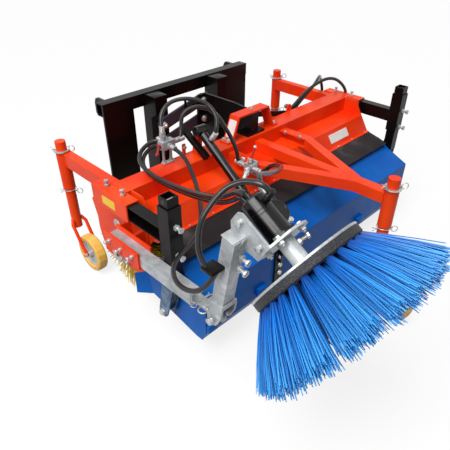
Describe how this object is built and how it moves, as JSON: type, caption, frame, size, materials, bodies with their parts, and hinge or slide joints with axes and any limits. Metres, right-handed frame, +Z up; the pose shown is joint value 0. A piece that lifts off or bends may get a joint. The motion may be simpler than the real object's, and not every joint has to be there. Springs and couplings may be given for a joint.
{
  "type": "attachment sweeping machine",
  "caption": "Carrier-mounted sweeping machine: hooded roller brush, tipping dirt bin with cylinder, swivel casters, slanted side brush and a floating hitch frame.",
  "frame": {"origin": "middle of the machine's box, on the ground under the casters", "axes": "+X towards the machine's right side (the side brush is at -X), +Y to the rear towards the carrier, +Z up; the machine sweeps towards -Y"},
  "size_m": [2.012, 1.9156, 0.9754],
  "materials": {
    "red_paint": "gloss orange-red paint",
    "black_paint": "satin black paint",
    "link_paint": "blue-grey paint",
    "blue_paint": "gloss blue paint",
    "zinc": "galvanised, dull",
    "blue_bristle": "extruded strands",
    "yellow_bristle": "extruded strands",
    "tyre": "cream-yellow tread, solid",
    "rubber": "matt sheet",
    "hose": "smooth hose cover",
    "motor_black": "gloss black",
    "lever_red": "red coated"
  },
  "bodies": {
    "machine": {"hood_sheet": "red_paint", "hood_beam": "red_paint", "end_plate_left": "red_paint", "end_plate_right": "red_paint", "rear_arm_left": "red_paint", "rear_arm_right": "red_paint", "bin_beam_left": "black_paint", "bin_beam_right": "black_paint", "flap": "rubber", "front_frame": "red_paint", "bridge_strap": "red_paint", "link_mast": "black_paint", "level_bar": "black_paint", "slotted_bar": "black_paint", "brush_bearing_left": "zinc", "main_motor": "motor_black", "side_bracket": "red_paint", "valve_left": "zinc", "valve_right": "zinc", "hose_cylinder_rear": "hose", "hose_valve_link": "hose", "hose_side_feed": "hose", "hose_side_return": "hose", "hose_side_long": "hose", "hose_motor_right": "hose"},
    "link_upper": {"link_upper": "link_paint"},
    "link_lower": {"link_lower": "link_paint"},
    "hitch_frame": {"hitch_frame": "black_paint"},
    "main_brush": {"brush_core": "black_paint", "brush_bristles": "yellow_bristle"},
    "bin_post_left": {"bin_post_left": "black_paint"},
    "bin_post_right": {"bin_post_right": "black_paint"},
    "bin": {"bin_sheet": "blue_paint", "bin_side_left": "blue_paint", "bin_side_right": "blue_paint", "bin_strap": "black_paint"},
    "cylinder_barrel": {"cylinder_barrel": "motor_black"},
    "cylinder_rod": {"cylinder_rod": "zinc"},
    "side_arm": {"side_arm": "zinc"},
    "side_post": {"side_post": "zinc"},
    "head": {"head_bracket": "zinc", "side_motor": "motor_black", "hose_head_loop": "hose"},
    "side_brush": {"side_hub": "zinc", "side_disc": "motor_black", "side_bristles": "blue_bristle"},
    "lever_left": {"lever_left": "lever_red"},
    "lever_right": {"lever_right": "lever_red"},
    "caster_left_collar": {"caster_left_collar": "zinc"},
    "caster_left_stem": {"caster_left_stem": "red_paint"},
    "caster_left_wheel": {"caster_left_hub": "zinc", "caster_left_tyre": "tyre"},
    "caster_right_collar": {"caster_right_collar": "zinc"},
    "caster_right_stem": {"caster_right_stem": "red_paint"},
    "caster_right_wheel": {"caster_right_hub": "zinc", "caster_right_tyre": "tyre"},
    "caster_front_collar": {"caster_front_collar": "zinc"},
    "caster_front_stem": {"caster_front_stem": "red_paint"},
    "caster_front_wheel": {"caster_front_hub": "zinc", "caster_front_tyre": "tyre"}
  },
  "joints": [
    {"name": "link_lower_hinge", "type": "hinge", "parent": "machine", "child": "link_lower", "pos_m": [0.14069, 0.67309, 0.607], "axis": [0, 1, 0], "range_deg": [0, 24]},
    {"name": "link_upper_hinge", "type": "hinge", "parent": "machine", "child": "link_upper", "pos_m": [0.14069, 0.67309, 0.71], "axis": [0, 1, 0], "range_deg": [0, 24]},
    {"name": "hitch_frame_hinge", "type": "hinge", "parent": "link_lower", "child": "hitch_frame", "pos_m": [-0.12663, 0.67309, 0.54035], "axis": [0, 1, 0], "range_deg": [-24, 0]},
    {"name": "main_brush_spin", "type": "hinge", "parent": "machine", "child": "main_brush", "pos_m": [0.12969, 0.38079, 0.27], "axis": [1, 0, 0], "continuous": true},
    {"name": "bin_height_left", "type": "slide", "parent": "machine", "child": "bin_post_left", "axis": [0, 0, 1], "range_m": [-0.06, 0]},
    {"name": "bin_height_right", "type": "slide", "parent": "machine", "child": "bin_post_right", "axis": [0, 0, 1], "range_m": [-0.06, 0]},
    {"name": "bin_tip", "type": "hinge", "parent": "bin_post_left", "child": "bin", "pos_m": [0.12969, 0.00779, 0.189], "axis": [-1, 0, 0], "range_deg": [0, 34]},
    {"name": "barrel_hinge", "type": "hinge", "parent": "machine", "child": "cylinder_barrel", "pos_m": [-0.21531, 0.29579, 0.755], "axis": [1, 0, 0], "range_deg": [0, 2.3]},
    {"name": "rod_slide", "type": "slide", "parent": "cylinder_barrel", "child": "cylinder_rod", "axis": [0, -0.8023, -0.5969], "range_m": [-0.168, 0]},
    {"name": "side_arm_slide", "type": "slide", "parent": "machine", "child": "side_arm", "axis": [0, -1, 0], "range_m": [0, 0.08]},
    {"name": "side_post_fold", "type": "hinge", "parent": "side_arm", "child": "side_post", "pos_m": [-0.73531, -0.35921, 0.457], "axis": [1, 0, 0], "range_deg": [0, 60]},
    {"name": "head_tilt", "type": "hinge", "parent": "side_post", "child": "head", "pos_m": [-0.73531, -0.41648, 0.77405], "axis": [1, 0, 0], "range_deg": [0, 12]},
    {"name": "side_brush_spin", "type": "hinge", "parent": "head", "child": "side_brush", "pos_m": [-0.62531, -0.60121, 0.738], "axis": [0, -0.8599, -0.5105], "continuous": true},
    {"name": "lever_left_turn", "type": "hinge", "parent": "machine", "child": "lever_left", "pos_m": [-0.40861, 0.33879, 0.727], "axis": [-1, 0, 0], "range_deg": [0, 90]},
    {"name": "lever_right_turn", "type": "hinge", "parent": "machine", "child": "lever_right", "pos_m": [-0.10661, 0.09079, 0.6263], "axis": [0, 0, 1], "range_deg": [0, 90]},
    {"name": "caster_left_swivel", "type": "hinge", "parent": "machine", "child": "caster_left_collar", "pos_m": [-0.64531, 0.78579, 0.636], "axis": [0, 0, 1], "continuous": true},
    {"name": "caster_left_height", "type": "slide", "parent": "caster_left_collar", "child": "caster_left_stem", "axis": [0, 0, 1], "range_m": [-0.03, 0.1]},
    {"name": "caster_left_roll", "type": "hinge", "parent": "caster_left_stem", "child": "caster_left_wheel", "pos_m": [-0.64531, 0.67279, 0.1], "axis": [1, 0, 0], "continuous": true},
    {"name": "caster_right_swivel", "type": "hinge", "parent": "machine", "child": "caster_right_collar", "pos_m": [0.90469, 0.78579, 0.636], "axis": [0, 0, 1], "continuous": true},
    {"name": "caster_right_height", "type": "slide", "parent": "caster_right_collar", "child": "caster_right_stem", "axis": [0, 0, 1], "range_m": [-0.03, 0.1]},
    {"name": "caster_right_roll", "type": "hinge", "parent": "caster_right_stem", "child": "caster_right_wheel", "pos_m": [0.90469, 0.67279, 0.1], "axis": [1, 0, 0], "continuous": true},
    {"name": "caster_front_swivel", "type": "hinge", "parent": "machine", "child": "caster_front_collar", "pos_m": [0.12969, -0.47621, 0.635], "axis": [0, 0, 1], "continuous": true},
    {"name": "caster_front_height", "type": "slide", "parent": "caster_front_collar", "child": "caster_front_stem", "axis": [0, 0, 1], "range_m": [-0.03, 0.1]},
    {"name": "caster_front_roll", "type": "hinge", "parent": "caster_front_stem", "child": "caster_front_wheel", "pos_m": [0.12969, -0.58921, 0.1], "axis": [1, 0, 0], "continuous": true}
  ],
  "couplings": [
    {"joint": "link_upper_hinge", "follows": "link_lower_hinge", "ratio": 1},
    {"joint": "hitch_frame_hinge", "follows": "link_lower_hinge", "ratio": -1},
    {"joint": "bin_height_right", "follows": "bin_height_left", "ratio": 1},
    {"joint": "barrel_hinge", "follows": "bin_tip", "ratio": 0.0659},
    {"joint": "rod_slide", "follows": "bin_tip", "m_per_rad": -0.2809}
  ]
}
